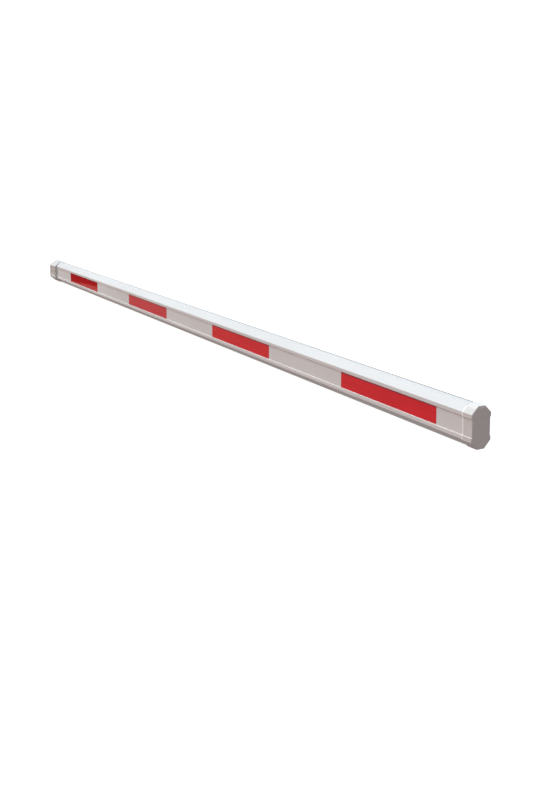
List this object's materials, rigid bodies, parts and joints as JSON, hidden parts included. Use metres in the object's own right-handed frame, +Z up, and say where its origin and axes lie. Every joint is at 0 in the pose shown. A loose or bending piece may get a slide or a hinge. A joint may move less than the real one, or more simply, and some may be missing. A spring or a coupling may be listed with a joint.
{
  "type": "barrier boom arm",
  "caption": "Straight octagonal barrier boom arm, white with red reflective strips, root collar for bolting to a gate and a pull-off tip cap.",
  "frame": {"origin": "middle of the two root bolt holes, on the arm's centre line", "axes": "+X along the arm from root to tip, +Y from the front to the back along the root bolts, +Z up with the arm closed"},
  "size_m": [3, 0.068, 0.094],
  "materials": {
    "white_paint": "satin",
    "collar_paint": "satin",
    "cap_plastic": "satin",
    "plug_plastic": "satin",
    "red_film": "gloss",
    "mill_aluminium": "satin",
    "zinc_steel": "satin",
    "black_steel": "satin"
  },
  "bodies": {
    "arm": {"boom_profile": "white_paint", "root_liner": "mill_aluminium", "crush_bushes": "zinc_steel", "root_collar": "collar_paint", "collar_set_screws": "black_steel", "red_film_front_1": "red_film", "red_film_front_2": "red_film", "red_film_front_3": "red_film", "red_film_front_4": "red_film", "red_film_back_1": "red_film", "red_film_back_2": "red_film", "red_film_back_3": "red_film", "red_film_back_4": "red_film"},
    "cap": {"tip_cap": "cap_plastic"},
    "plug": {"root_plug": "plug_plastic"}
  },
  "joints": [
    {"name": "tip_cap_pull", "type": "slide", "parent": "arm", "child": "cap", "axis": [1, 0, 0], "range_m": [0, 0.06]},
    {"name": "root_plug_pull", "type": "slide", "parent": "arm", "child": "plug", "axis": [-1, 0, 0], "range_m": [0, 0.04]}
  ]
}
